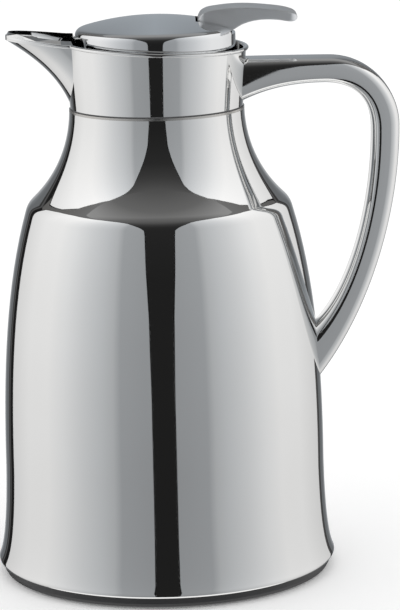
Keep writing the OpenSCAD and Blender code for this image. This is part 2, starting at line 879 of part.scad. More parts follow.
module valve_gasket() {
  color("dimgray") ring(seat_r - 1.5, disc_r, gasket_z, disc_z);
}

// Washer on the stem that the spring pushes down on
module spring_retainer() {
  z = spring_top - spring_len - retainer_t;
  color("gray") ring(stem_r, spring_r + 1.2, z, z + retainer_t);
}

module valve_spring() {
  sides = 8;
  per_turn = 16;
  lead = (spring_len - wire_d - fit) / spring_turns;
  z0 = spring_top - spring_len + wire_d / 2 + fit / 2;
  color("gray")
    loft([
      for (i = [0:per_turn * spring_turns]) let (a = i * 360 / per_turn)
        [for (j = [0:sides - 1]) let (
            b = -j * 360 / sides,
            r = spring_r + wire_d / 2 * cos(b)
          )
          [r * cos(a), r * sin(a), z0 + lead * i / per_turn + wire_d / 2 * sin(b)]]
    ]);
}

outer_shell();
shell_bottom();
inner_liner();
foil_wrap();
getter();
evacuation_seal();
base_cap();
foot_pad();
neck_ring();
collar_gasket();
collar();
handle();
handle_bracket();
handle_screws_upper();
handle_screw_lower();
lid_cover();
stopper_body();
stopper_base();
stopper_foam();
stopper_seal();
lid_screws();
lever();
lever_pin();
valve_stem();
stem_nut();
valve_disc();
valve_gasket();
spring_retainer();
valve_spring();
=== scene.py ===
import math

import bmesh
import bpy
from bpy.props import FloatProperty, FloatVectorProperty, IntProperty, PointerProperty
from mathutils import Euler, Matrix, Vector


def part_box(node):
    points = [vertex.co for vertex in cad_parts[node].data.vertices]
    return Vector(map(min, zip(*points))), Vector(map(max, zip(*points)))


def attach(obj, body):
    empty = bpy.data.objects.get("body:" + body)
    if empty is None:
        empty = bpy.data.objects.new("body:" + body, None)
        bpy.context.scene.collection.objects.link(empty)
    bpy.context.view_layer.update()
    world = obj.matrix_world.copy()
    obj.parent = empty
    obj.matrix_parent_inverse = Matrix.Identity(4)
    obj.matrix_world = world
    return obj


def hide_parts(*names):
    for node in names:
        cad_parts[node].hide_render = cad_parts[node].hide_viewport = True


bl_info = {
    "name": "Vacuum carafe",
    "version": (1, 0, 0),
    "blender": (4, 5, 0),
    "location": "3D View > Sidebar > Carafe",
    "description": "Builds a polished vacuum carafe, piece by piece, round its working frame",
    "category": "Add Mesh",
}

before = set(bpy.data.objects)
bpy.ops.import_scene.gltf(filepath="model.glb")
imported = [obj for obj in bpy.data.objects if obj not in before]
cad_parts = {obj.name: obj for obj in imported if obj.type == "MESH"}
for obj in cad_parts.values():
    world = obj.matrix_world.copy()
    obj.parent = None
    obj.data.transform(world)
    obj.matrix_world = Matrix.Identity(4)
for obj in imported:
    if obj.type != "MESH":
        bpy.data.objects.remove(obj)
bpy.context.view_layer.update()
MM = 0.001


# ---- Outlines -------------------------------------------------------------

def bez(points, steps, skip_first=False):
    """Points along a cubic curve through four control points."""
    out = []
    for i in range(1 if skip_first else 0, steps + 1):
        t = i / steps
        s = 1 - t
        weights = (s * s * s, 3 * s * s * t, 3 * s * t * t, t * t * t)
        out.append(tuple(sum(w * p[k] for w, p in zip(weights, points)) for k in range(len(points[0]))))
    return out


def chain(steps, *curves):
    """Several cubic curves joined end to end."""
    out = bez(curves[0], steps)
    for curve in curves[1:]:
        out += bez(curve, steps, skip_first=True)
    return out


def inset(line, depth):
    """The outline moved to its left by a depth."""
    out = []
    for i, p in enumerate(line):
        a, b = line[max(0, i - 1)], line[min(len(line) - 1, i + 1)]
        dx, dz = b[0] - a[0], b[1] - a[1]
        length = math.hypot(dx, dz)
        out.append((p[0] - dz / length * depth, p[1] + dx / length * depth))
    return out


def node_box(node):
    """Low and high corners of a working piece."""
    low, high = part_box(node)
    return Vector(low), Vector(high)


# ---- Mesh helpers ---------------------------------------------------------

def select_only(*objects):
    """Selects these objects alone, the first one active."""
    for o in bpy.context.selected_objects:
        o.select_set(False)
    for o in objects:
        o.select_set(True)
    bpy.context.view_layer.objects.active = objects[0] if objects else None


def finish_mesh(o, name, smooth_angle=40):
    """Names a piece, puts its place in its mesh and shades it."""
    o.name = o.data.name = name
    select_only(o)
    bpy.ops.object.transform_apply(location=True, rotation=True, scale=True)
    bpy.ops.object.shade_smooth_by_angle(angle=math.radians(smooth_angle))
    return o


def recalc_normals():
    """Merges doubled points and turns every face outward, in edit mode."""
    bpy.ops.mesh.select_all(action="SELECT")
    bpy.ops.mesh.remove_doubles(threshold=2e-6)
    bpy.ops.mesh.normals_make_consistent(inside=False)


def spun(name, outline, steps=256, smooth_angle=40):
    """A solid of revolution about the axis, spun from an outline of (radius, height)."""
    select_only()
    bpy.ops.mesh.primitive_plane_add(size=0.001, location=(outline[0][0], 0, outline[0][1]))
    o = bpy.context.object
    bpy.ops.object.transform_apply(location=True)
    bpy.ops.object.mode_set(mode="EDIT")
    bpy.ops.mesh.select_all(action="SELECT")
    bpy.ops.mesh.merge(type="CENTER")
    for a, b in zip(outline, outline[1:]):
        step = (b[0] - a[0], 0, b[1] - a[1])
        bpy.ops.mesh.extrude_vertices_move(TRANSFORM_OT_translate={"value": step})
    bpy.ops.mesh.select_all(action="SELECT")
    bpy.ops.mesh.spin(steps=steps, angle=math.tau, center=(0, 0, 0), axis=(0, 0, 1))
    recalc_normals()
    bpy.ops.object.mode_set(mode="OBJECT")
    return finish_mesh(o, name, smooth_angle)


def lofted(name, rings, closed_ends=True, smooth_angle=40):
    """A skin through closed rings of equal length: a circle is extruded ring by ring."""
    select_only()
    bpy.ops.mesh.primitive_circle_add(vertices=len(rings[0]), radius=0.01)
    o = bpy.context.object
    bpy.ops.object.mode_set(mode="EDIT")
    bpy.ops.mesh.select_all(action="SELECT")
    for count, ring in enumerate(rings):
        if count:
            bpy.ops.mesh.extrude_edges_move()
        mesh = bmesh.from_edit_mesh(o.data)
        mesh.verts.ensure_lookup_table()
        first = count * len(ring)
        for i, place in enumerate(ring):
            mesh.verts[first + i].co = place
        bmesh.update_edit_mesh(o.data)
    if closed_ends:
        bpy.ops.mesh.edge_face_add()
        mesh = bmesh.from_edit_mesh(o.data)
        mesh.verts.ensure_lookup_table()
        bpy.ops.mesh.select_all(action="DESELECT")
        for v in mesh.verts[:len(rings[0])]:
            v.select = True
        mesh.select_flush(True)
        bmesh.update_edit_mesh(o.data)
        bpy.ops.mesh.edge_face_add()
    recalc_normals()
    bpy.ops.object.mode_set(mode="OBJECT")
    return finish_mesh(o, name, smooth_angle)


def cut_with(o, cutter):
    """Cuts a closed piece away, as a modifier that is applied."""
    select_only(o)
    m = o.modifiers.new("cut", "BOOLEAN")
    m.operation = "DIFFERENCE"
    m.solver = "EXACT"
    m.object = cutter
    bpy.ops.object.modifier_apply(modifier=m.name)
    bpy.data.objects.remove(cutter)


# ---- Shader helpers -------------------------------------------------------

class Sock:
    """A node's output; arithmetic on it adds Math nodes."""

    def __init__(self, tree, out):
        self.tree, self.out = tree, out

    def _math(self, op, a, b=0.0, clamp=False):
        return self.tree.node("ShaderNodeMath", {"operation": op, "use_clamp": clamp}, {0: a, 1: b})

    def __add__(self, other):
        return self._math("ADD", self, other)

    __radd__ = __add__

    def __sub__(self, other):
        return self._math("SUBTRACT", self, other)

    def __rsub__(self, other):
        return self._math("SUBTRACT", other, self)

    def __mul__(self, other):
        return self._math("MULTIPLY", self, other)

    __rmul__ = __mul__

    def __truediv__(self, other):
        return self._math("DIVIDE", self, other)

    def absolute(self):
        return self._math("ABSOLUTE", self)

    def clamped(self):
        return self._math("ADD", self, 0.0, clamp=True)


class Finish:
    """A material under construction."""

    def __init__(self, name):
        self.material = bpy.data.materials.new(name)
        self.material.use_nodes = True
        self.nodes = self.material.node_tree.nodes
        self.links = self.material.node_tree.links
        self.shader = self.nodes["Principled BSDF"]
        self.coords = self.node("ShaderNodeTexCoord", {}, {}, "Object")

    def node(self, kind, settings, sockets, output=0):
        n = self.nodes.new(kind)
        for key, value in settings.items():
            if key == "stops":
                ramp = n.color_ramp
                while len(ramp.elements) < len(value):
                    ramp.elements.new(0.5)
                for element, (place, colour) in zip(ramp.elements, value):
                    element.position = place
                    element.color = (*colour, 1) if len(colour) == 3 else colour
            else:
                setattr(n, key, value)
        for key, value in sockets.items():
            if isinstance(value, Sock):
                self.links.new(value.out, n.inputs[key])
            else:
                n.inputs[key].default_value = value
        return Sock(self, n.outputs[output])

    def stretched(self, scale):
        """Object coordinates, stretched along an axis for drawn and turned marks."""
        return self.node("ShaderNodeMapping", {}, {"Vector": self.coords, "Scale": scale})

    def noise(self, size, detail=3.0, rough=0.5, coords=None):
        return self.node("ShaderNodeTexNoise", {}, {
            "Vector": coords or self.coords, "Scale": 1 / size, "Detail": detail, "Roughness": rough}, "Fac")

    def cells(self, scale):
        return self.node("ShaderNodeTexVoronoi", {"feature": "F1"}, {"Vector": self.coords, "Scale": scale},
                         "Distance")

    def ramp(self, value, *stops):
        return self.node("ShaderNodeValToRGB", {"stops": stops}, {"Fac": value}, "Color")

    def blend(self, fac, a, b):
        return self.node("ShaderNodeMix", {"data_type": "RGBA"}, {0: fac, 6: a, 7: b}, 2)

    def bump(self, height, depth):
        return self.node("ShaderNodeBump", {}, {"Height": height, "Distance": depth}, "Normal")

    def set(self, **sockets):
        for key, value in sockets.items():
            socket = self.shader.inputs[key.replace("_", " ")]
            if isinstance(value, Sock):
                self.links.new(value.out, socket)
            else:
                socket.default_value = value
        return self.material


def polished(name, tone, base_rough, wave=0.00002):
    """Mirror polish: faint buffing lines, a little haze and slow ripples in the metal."""
    f = Finish(name)
    haze = f.noise(0.035, 2.0)
    buff = f.noise(0.0012, 2.0, 0.6, f.stretched((0.12, 0.12, 1.0)))
    fine = f.noise(0.00025, 1.0, 0.5, f.stretched((0.1, 0.1, 1.0)))
    rough = base_rough + (haze - 0.5) * (base_rough * 0.6) + (buff - 0.5) * (base_rough * 0.5)
    dark = (tone[0] * 0.965, tone[1] * 0.96, tone[2] * 0.955, 1)
    colour = f.blend(haze, (*tone, 1), dark)
    ripple = f.noise(0.03, 1.0) * 1.0 + buff * 0.004 + fine * 0.0015
    return f.set(Base_Color=colour, Metallic=1.0, Roughness=rough, Normal=f.bump(ripple, wave))


def drawn_steel(name, tone, rough, grain=0.0006):
    """Plain worked steel: turned or drawn lines with a satin sheen."""
    f = Finish(name)
    lines = f.noise(grain, 3.0, 0.6, f.stretched((0.06, 0.06, 1.0)))
    stain = f.noise(0.02, 3.0)
    colour = f.blend(stain, (*tone, 1), (tone[0] * 0.86, tone[1] * 0.84, tone[2] * 0.82, 1))
    return f.set(Base_Color=colour, Metallic=1.0, Roughness=rough + (lines - 0.5) * 0.22,
                 Normal=f.bump(lines, 0.00003))


def moulded(name, tone, rough, grain=0.0005, depth=0.00002):
    """Moulded plastic: fine spark grain with a little variation."""
    f = Finish(name)
    pits = f.noise(grain, 2.0, 0.6)
    slow = f.noise(0.018, 3.0)
    lighter = tuple(min(1.0, c * 1.5 + 0.006) for c in tone)
    colour = f.blend(slow, (*tone, 1), (*lighter, 1))
    return f.set(Base_Color=colour, Roughness=rough + (pits - 0.5) * 0.2 + (slow - 0.5) * 0.12,
                 Normal=f.bump(pits, depth))


def rubbery(name, tone, rough):
    """Rubber or silicone: a dull skin with a little dust."""
    f = Finish(name)
    dust = f.noise(0.006, 4.0)
    skin = f.noise(0.0007, 3.0)
    paler = tuple(min(1.0, c * 1.6 + 0.02) for c in tone)
    colour = f.blend(dust, (*tone, 1), (*paler, 1))
    return f.set(Base_Color=colour, Roughness=rough + (skin - 0.5) * 0.25, Normal=f.bump(skin, 0.00003))


def crinkled_foil(name, tone):
    """Thin metal foil with small creases."""
    f = Finish(name)
    folds = f.cells(220.0)
    tint = f.noise(0.01, 2.0)
    colour = f.blend(tint, (*tone, 1), (tone[0] * 0.8, tone[1] * 0.78, tone[2] * 0.75, 1))
    return f.set(Base_Color=colour, Metallic=1.0, Roughness=0.22 + tint * 0.15, Normal=f.bump(folds, 0.0004))


def foamed(name, tone):
    """Insulating foam with small open cells."""
    f = Finish(name)
    cells = f.cells(900.0)
    tint = f.noise(0.012, 3.0)
    colour = f.blend(tint, (*tone, 1), (tone[0] * 0.82, tone[1] * 0.8, tone[2] * 0.76, 1))
    return f.set(Base_Color=colour, Roughness=0.85 + (tint - 0.5) * 0.1, Normal=f.bump(cells, 0.0004))


def glowing(name, stops, along="bearing", span=(0.0, 180.0), rise=(1.0, 1.0)):
    """A light panel whose tone runs along its bearing, its height or its depth from front to back.
    Its strength also climbs with height, from the first value of rise to the second."""
    f = Finish(name)
    xyz = f.nodes.new("ShaderNodeSeparateXYZ")
    f.links.new(f.coords.out, xyz.inputs[0])
    x, y, z = (Sock(f, out) for out in xyz.outputs)
    turn = f.node("ShaderNodeMath", {"operation": "ARCTAN2"}, {0: x, 1: y * -1.0})
    places = {"bearing": turn.absolute() * math.degrees(1), "height": z, "depth": y}
    share = (places[along] - span[0]) / (span[1] - span[0])
    tones = [((place - span[0]) / (span[1] - span[0]), tone) for place, tone in stops]
    climb = ((z - WALL_LOW) / (WALL_HIGH - WALL_LOW)).clamped()
    strength = rise[0] + climb * (rise[1] - rise[0])
    lit = f.node("ShaderNodeVectorMath", {"operation": "SCALE"},
                 {"Vector": f.ramp(share, *tones), "Scale": strength})
    return f.set(Base_Color=(0, 0, 0, 1), Roughness=1.0, Specular_IOR_Level=0.0, Emission_Color=lit,
                 Emission_Strength=1.0)


# ---- Sizes and finishes that a user would change ---------------------------

def length(name, text, value):
    return FloatProperty(name=name, description=text, default=value, min=0.0, max=1.0,
                         subtype="DISTANCE", unit="LENGTH", precision=4)


def colour(name, text, value):
    return FloatVectorProperty(name=name, description=text, default=value, size=3,
                               min=0.0, max=1.0, subtype="COLOR")


SHELL_LOW, SHELL_HIGH = node_box("outer_shell")
COLLAR_LOW, COLLAR_HIGH = node_box("collar")
HANDLE_LOW, HANDLE_HIGH = node_box("handle")
LID_LOW, LID_HIGH = node_box("lid_cover")
LEVER_LOW, LEVER_HIGH = node_box("lever")
PIN_LOW, PIN_HIGH = node_box("lever_pin")
STEM_LOW, STEM_HIGH = node_box("valve_stem")
SPOUT_BACK = 26 * MM
# The light panels are laid out one metre off, then drawn in by WALL_NEAR round the height WALL_EYE
WALL_LOW, WALL_HIGH, WALL_R = -1.4, 1.42, 1.0
WALL_NEAR, WALL_EYE = 0.35, 0.2
# Bearings are in degrees from the camera's side
BACK_START, FRAME_SIDE = 148.5, 0.7
BACK_SPLIT = 0.16
FLOOR_SIZE = 14
CAMERA_PLACE = (0.0, -1.400, 0.401)
CAMERA_DOWN, CAMERA_TURN, CAMERA_ROLL = 11.49, 0.69, 1.20
BODY_STEPS = 16


class CarafeBody(bpy.types.PropertyGroup):
    waist_r: length("Waist radius", "Radius of the straight lower body", 69.8 * MM)
    waist_z: length("Waist height", "Height at which the straight lower body ends", 48 * MM)
    shoulder_r: length("Shoulder radius", "Radius at the shoulder corner", 57.8 * MM)
    shoulder_z: length("Shoulder height", "Height of the shoulder corner", 160 * MM)
    neck_r: length("Neck radius", "Outer radius of the neck", 37.8 * MM)
    shell_t: length("Shell thickness", "Thickness of the steel shell", 0.8 * MM)
    curl_r: length("Curl radius", "Radius of the shell's rounded lower edge", 1.5 * MM)


class CarafeCollar(bpy.types.PropertyGroup):
    wall: length("Wall", "Thickness of the collar's wall", 1.2 * MM)
    rim_r: length("Rim radius", "Radius of the collar at its rim", 39.2 * MM)
    rim_z: length("Rim height", "Height of the rim at its middle", 231.8 * MM)
    rim_slope: FloatProperty(name="Rim slope", description="Fall of the rim towards the handle",
                             default=0.045)
    bead_r: length("Bead radius", "Radius of the rolled bead", 0.85 * MM)
    spout_half_w: length("Spout half width", "Half of the spout's width at its root", 17 * MM)
    spout_lip: length("Spout lip", "Height of the beak's lip at its tip", 2 * MM)


class CarafeHandle(bpy.types.PropertyGroup):
    grip_t: length("Grip thickness", "Thickness of the grip from front to back", 12 * MM)
    root_h: length("Root height", "Height of the root on the collar", 18.9 * MM)
    foot_z: length("Foot height", "Height of the middle of the lower foot", 95 * MM)
    foot_h: length("Foot size", "Height of the lower foot on the body", 21 * MM)
    oval: FloatProperty(name="Oval", default=0.55,
                        description="Power of the grip's section: 1 is an ellipse, less is fuller")


class CarafeLid(bpy.types.PropertyGroup):
    edge_z: length("Edge height", "Height of the lid's edge", 238.2 * MM)
    edge_round: length("Edge radius", "Radius of the lid's rounded edge", 3 * MM)
    cover_t: length("Cover thickness", "Thickness of the lid's cover", 1 * MM)
    window_w: length("Window width", "Width of the pouring window", 33.6 * MM)
    window_h: length("Window height", "Height of the pouring window", 11.6 * MM)
    window_drop: length("Window drop", "Depth of the window's top below the lid's edge", 2.1 * MM)
    slot_gap: length("Slot gap", "Gap beside the lever in the lid's slot", 0.5 * MM)
    lever_bed: length("Lever bed", "How far the lever lies in over the lid", 16.2 * MM)
    lever_corner: length("Lever corners", "Radius of the lever's corners, seen from above", 3.4 * MM)
    lever_round: length("Lever edges", "Radius of the lever's long edges", 0.6 * MM)
    hub_r: length("Hub radius", "Radius of the hub round the lever's pin", 3 * MM)
    hub_half: length("Hub half length", "Half of the hub's length along the pin", 6.3 * MM)
    lever_crown: length("Lever crown", "Height of the lever's crown above the lid's edge", 8.9 * MM)


class CarafeFinish(bpy.types.PropertyGroup):
    steel: colour("Steel", "Tone of the polished steel", (0.90, 0.90, 0.895))
    steel_rough: FloatProperty(name="Steel roughness", description="Roughness of the polish", default=0.035)
    plate: colour("Plate", "Tone of the lid's plating", (0.86, 0.87, 0.88))
    satin: colour("Satin", "Tone of the lever's satin plating", (0.90, 0.92, 0.94))
    satin_rough: FloatProperty(name="Satin roughness", description="Roughness of the lever", default=0.5)
    plastic: colour("Plastic", "Colour of the black mouldings", (0.012, 0.012, 0.013))
    silicone: colour("Silicone", "Colour of the seals", (0.05, 0.05, 0.052))
    segments: IntProperty(name="Segments", description="Steps round a spun piece", default=256)


def body_group():
    """The body's sizes."""
    return bpy.context.scene.carafe_body


# ---- Body -----------------------------------------------------------------

def body_line():
    """The shell's outer outline, from its curled lower edge to the neck."""
    b = body_group()
    base_r = (SHELL_HIGH.x - SHELL_LOW.x) / 2
    low, top = SHELL_LOW.z, SHELL_HIGH.z
    curl = b.curl_r
    neck_h = top - b.shoulder_z
    knee = (b.shoulder_r - 3.6 * MM, b.shoulder_z + 5.5 * MM)
    return chain(
        BODY_STEPS,
        [(base_r - curl, low), (base_r - curl * 0.45, low),
         (base_r, low + curl * 0.45), (base_r, low + curl)],
        [(base_r, low + curl), (base_r - 1.8 * MM, low + curl + 3.8 * MM),
         (b.waist_r + 0.4 * MM, low + 15 * MM), (b.waist_r, b.waist_z)],
        [(b.waist_r, b.waist_z), (b.waist_r, b.waist_z + 42 * MM),
         (b.shoulder_r + 9.5 * MM, b.shoulder_z - 32 * MM), (b.shoulder_r, b.shoulder_z)],
        [(b.shoulder_r, b.shoulder_z), (b.shoulder_r - 0.8 * MM, b.shoulder_z + 2.7 * MM),
         (b.shoulder_r - 1.9 * MM, b.shoulder_z + 3.9 * MM), knee],
        [knee, (b.shoulder_r - 11.8 * MM, b.shoulder_z + 13.5 * MM),
         (b.neck_r + 0.5 * MM, b.shoulder_z + neck_h * 0.6), (b.neck_r, top)],
    )


class CARAFE_OT_shell(bpy.types.Operator):
    """Spins the polished outer shell"""
    bl_idname = "carafe.shell"
    bl_label = "Outer shell"

    def execute(self, context):
        line = body_line()
        inner = inset(line, body_group().shell_t)
        o = spun("polished_shell", line + inner[::-1] + line[:1], context.scene.carafe_finish.segments)
        dress(o, "steel", "jug", "outer_shell")
        return {"FINISHED"}


# ---- Collar and spout -----------------------------------------------------

def collar_radius(z):
    """Radius of the collar's flared side at a height."""
    c = bpy.context.scene.carafe_collar
    seam_r = body_group().neck_r - 0.5 * MM
    seam_z = COLLAR_LOW.z
    return seam_r + (c.rim_r - seam_r) * (z - seam_z) / (c.rim_z - seam_z)


def spout_edge(x):
    """Height of the open edge at a distance from the axis, towards the spout."""
    c = bpy.context.scene.carafe_collar
    root = c.rim_z + c.rim_slope * c.rim_r
    if x < c.rim_r:
        return c.rim_z + c.rim_slope * x
    return root + (COLLAR_HIGH.z - root) * (x - c.rim_r) / (-COLLAR_LOW.x - c.rim_r)


def spout_rings(wall, trimmed=False, steps=40, around=64):
    """Sections of the beak from the foot of its keel to its open edge, at a depth below its skin.
    Trimmed sections end inside the collar's wall."""
    c = bpy.context.scene.carafe_collar
    seam_r = body_group().neck_r - 0.5 * MM
    seam_z = COLLAR_LOW.z
    foot = seam_z + 0.7 * MM
    reach, tip_z = -COLLAR_LOW.x, COLLAR_HIGH.z
    keel = bez([(seam_r - 0.4 * MM, foot), (seam_r + 3.7 * MM, seam_z + 11.2 * MM),
                (seam_r + 10.7 * MM, seam_z + 19.7 * MM), (reach, tip_z - c.spout_lip)], steps)
    back = SPOUT_BACK - (2 * MM if wall else 0)
    rings = []
    for x_keel, z_keel in keel + [(reach, tip_z)]:
        v = min(1.0, (z_keel - foot) / (spout_edge(x_keel) - foot))
        half = c.spout_half_w * (1 - 0.98 * (1 - v) ** 6) ** 0.4 - wall
        nose = x_keel - wall

        def place(angle):
            x = back + (nose - back) * math.cos(angle)
            z = foot + (1.5 * MM if wall else 0) + v * (spout_edge(x) - foot)
            return -x, half * math.sin(angle), z

        end = math.pi / 2
        if trimmed:
            inside, outside = end, 0.0
            for _ in range(30):
                end = (inside + outside) / 2
                x, y, z = place(end)
                if math.hypot(x, y) > collar_radius(z) - c.wall / 2:
                    outside = end
                else:
                    inside = end
            end = max(end, 0.04)
        rings.append([place(end * (2 * i / (around - 1) - 1)) for i in range(around)])
    return rings


def collar_cone(name, top_z):
    """A plain closed cone that fills the collar's flared side, as a cutter."""
    low = COLLAR_LOW.z
    return spun(name, [(0, low), (collar_radius(low), low), (collar_radius(top_z), top_z), (0, top_z)], 256)


def side_line(z_low, z_high, cut_depth, steps):
    """The collar's flared side, moved in by a depth."""
    heights = [z_low + (z_high - z_low) * i / steps for i in range(steps + 1)]
    return [(collar_radius(z) - cut_depth, z) for z in heights]


def bead_path(ring_steps=200, edge_steps=90):
    """The rolled bead's route: round the rim, then out and back along the spout's edge."""
    c = bpy.context.scene.carafe_collar
    nose = -COLLAR_LOW.x - c.bead_r
    half = c.spout_half_w - c.wall / 2

    def edge(angle):
        return SPOUT_BACK + (nose - SPOUT_BACK) * math.cos(angle), half * math.sin(angle)

    near, far = 0.0, math.pi / 2
    for _ in range(40):
        middle = (near + far) / 2
        if math.hypot(*edge(middle)) > c.rim_r:
            near = middle
        else:
            far = middle
    meet = edge(near)
    gap = math.atan2(meet[1], meet[0])
    path = []
    for i in range(ring_steps):
        a = math.pi + gap + (math.tau - 2 * gap) * i / ring_steps
        x, y = c.rim_r * math.cos(a), c.rim_r * math.sin(a)
        path.append((x, y, c.rim_z - c.rim_slope * x - c.bead_r))
    for i in range(edge_steps):
        x, y = edge(near - 2 * near * i / edge_steps)
        path.append((-x, y, spout_edge(x) - c.bead_r))
    return path


def tube(name, path, radius, around=14):
    """A round bead along a closed path."""
    rings = []
    for i, here in enumerate(path):
        ahead = (Vector(path[(i + 1) % len(path)]) - Vector(path[i - 1])).normalized()
        out = ahead.cross(Vector((0, 0, 1))).normalized()
        up = out.cross(ahead)
        turns = [math.tau * k / around for k in range(around)]
        rings.append([Vector(here) + out * radius * math.cos(a) + up * radius * math.sin(a) for a in turns])
    return lofted(name, rings + rings[:1], closed_ends=False, smooth_angle=60)


class CARAFE_OT_collar(bpy.types.Operator):
    """Builds the flared collar, its beaked spout and the rolled bead"""
    bl_idname = "carafe.collar"
    bl_label = "Collar and spout"

    def execute(self, context):
        c = context.scene.carafe_collar
        top = c.rim_z + 4 * MM
        outer = side_line(COLLAR_LOW.z, top, 0, 16)
        inner = side_line(COLLAR_LOW.z, top, c.wall, 16)
        ring = spun("polished_collar", outer + inner[::-1] + outer[:1], context.scene.carafe_finish.segments)
        bpy.ops.object.mode_set(mode="EDIT")
        bpy.ops.mesh.select_all(action="SELECT")
        bpy.ops.mesh.bisect(plane_co=(0, 0, c.rim_z - c.bead_r), plane_no=(c.rim_slope, 0, 1),
                            clear_outer=True, use_fill=True)
        recalc_normals()
        bpy.ops.object.mode_set(mode="OBJECT")
        hollow = spout_rings(c.wall)
        above = [(x, y, z + 4 * MM) for x, y, z in hollow[-1]]
        cut_with(ring, lofted("channel_cutter", hollow + [above]))
        skins = zip(spout_rings(0, True), spout_rings(c.wall, True))
        beak = lofted("polished_spout", [outside + inside[::-1] for outside, inside in skins])
        bead = tube("rolled_bead", bead_path(), c.bead_r)
        for o in (ring, beak, bead):
            finish_mesh(o, o.name, 30)
            dress(o, "steel", "jug", "collar")
        return {"FINISHED"}


# ---- Handle ---------------------------------------------------------------

def body_radius(z):
    """Radius of the shell at a height."""
    line = body_line()
    for a, b in zip(line, line[1:]):
        if a[1] <= z <= b[1] and b[1] > a[1]:
            return a[0] + (b[0] - a[0]) * (z - a[1]) / (b[1] - a[1])
    return line[-1][0]


def handle_lines(steps=30):
    """Outer and inner outlines of the handle, from the collar round to the lower foot."""
    b, h = body_group(), bpy.context.scene.carafe_handle
    seam_r = collar_radius(COLLAR_LOW.z)
    top, back = HANDLE_HIGH.z, HANDLE_HIGH.x
    front = back - h.grip_t
    foot_r = body_radius(h.foot_z)
    m = MM
    outer = chain(
        steps,
        [(seam_r - m, top), (seam_r + 12 * m, top),
         (seam_r + 24 * m, top), (b.waist_r + 5.2 * m, top - 0.2 * m)],
        [(b.waist_r + 5.2 * m, top - 0.2 * m), (back - 12.4 * m, top - 0.6 * m),
         (back, top - 15 * m), (back, top - 30 * m)],
        [(back, top - 30 * m), (back, top - 65.6 * m),
         (foot_r + 24 * m, h.foot_z + 19 * m), (foot_r - 1.5 * m, h.foot_z - h.foot_h / 2 - 2 * m)],
    )
    inner = chain(
        steps,
        [(seam_r - m, top - h.root_h), (seam_r + 10 * m, top - h.root_h + 5.3 * m),
         (seam_r + 21 * m, top - h.grip_t + 0.7 * m), (b.waist_r + 3.2 * m, top - h.grip_t + 0.6 * m)],
        [(b.waist_r + 3.2 * m, top - h.grip_t + 0.6 * m), (front - 6.4 * m, top - h.grip_t),
         (front, top - h.grip_t - 7.6 * m), (front, top - 31.6 * m)],
        [(front, top - 31.6 * m), (front, top - 65.6 * m),
         (foot_r + 14 * m, h.foot_z + 27 * m), (foot_r - 3 * m, h.foot_z + h.foot_h / 2 + m)],
    )
    return outer, inner


def power(value, exponent):
    """A power that keeps its sign, for a section between an ellipse and a box."""
    return math.copysign(abs(value) ** exponent, value)


class CARAFE_OT_handle(bpy.types.Operator):
    """Sweeps the oval D-shaped handle and fits it to the collar and the body"""
    bl_idname = "carafe.handle"
    bl_label = "Handle"

    def execute(self, context):
        h = context.scene.carafe_handle
        around = 72
        half_w = (HANDLE_HIGH.y - HANDLE_LOW.y) / 2
        rings = []
        for p, q in zip(*handle_lines()):
            mid_x, mid_z = (p[0] + q[0]) / 2, (p[1] + q[1]) / 2
            dx, dz = (p[0] - q[0]) / 2, (p[1] - q[1]) / 2
            turns = [math.tau * i / around for i in range(around)]
            rings.append([(mid_x + dx * power(math.cos(a), h.oval), half_w * power(math.sin(a), h.oval),
                           mid_z + dz * power(math.cos(a), h.oval)) for a in turns])
        o = lofted("polished_handle", rings)
        line = body_line()
        cut_with(o, spun("body_cutter", [(0, line[0][1])] + line + [(0, line[-1][1])], 256))
        cut_with(o, collar_cone("root_cutter", context.scene.carafe_collar.rim_z))
        finish_mesh(o, o.name, 30)
        dress(o, "cast", "jug", "handle")
        return {"FINISHED"}


# ---- Lid ------------------------------------------------------------------

def lid_outline():
    """Dome, rounded edge and skirt of the lid's cover, outside and then inside."""
    lid = bpy.context.scene.carafe_lid
    r, crown, skirt = LID_HIGH.x, LID_HIGH.z, LID_LOW.z
    rise = crown - lid.edge_z
    big = (r * r + rise * rise) / (2 * rise)
    e, t = lid.edge_round, lid.cover_t

    def dome(radius, lower):
        return crown - lower - big + math.sqrt(big * big - radius * radius)

    flat = r - e
    straight = lid.edge_z - e
    outer = [(flat * i / 24, dome(flat * i / 24, 0)) for i in range(25)]
    outer += bez([(flat, dome(flat, 0)), (r - e * 0.4, dome(r - e * 0.4, 0)),
                  (r, lid.edge_z - e * 0.2), (r, straight)], 14, skip_first=True)
    outer += [(r, straight + (skirt - straight) * i / 10) for i in range(1, 11)]
    inner = [(r - t, skirt + (straight - skirt) * i / 10) for i in range(11)]
    inner += [(flat * i / 24, dome(flat * i / 24, t)) for i in range(24, -1, -1)]
    return outer + inner


def rounded_block(name, low, high, radius, axis):
    """A closed block with its four edges along one axis rounded, as a cutter."""
    select_only()
    centre = [(a + b) / 2 for a, b in zip(low, high)]
    bpy.ops.mesh.primitive_cube_add(size=1, location=centre, scale=[b - a for a, b in zip(low, high)])
    o = bpy.context.object
    bpy.ops.object.transform_apply(location=True, rotation=True, scale=True)
    bpy.ops.object.mode_set(mode="EDIT")
    bpy.ops.mesh.select_all(action="DESELECT")
    mesh = bmesh.from_edit_mesh(o.data)
    for e in mesh.edges:
        along = (e.verts[0].co - e.verts[1].co).normalized()
        e.select_set(abs(along[axis]) > 0.9)
    bmesh.update_edit_mesh(o.data)
    bpy.ops.mesh.bevel(offset=radius, segments=8, profile=0.5, affect="EDGES")
    recalc_normals()
    bpy.ops.object.mode_set(mode="OBJECT")
    return finish_mesh(o, name)


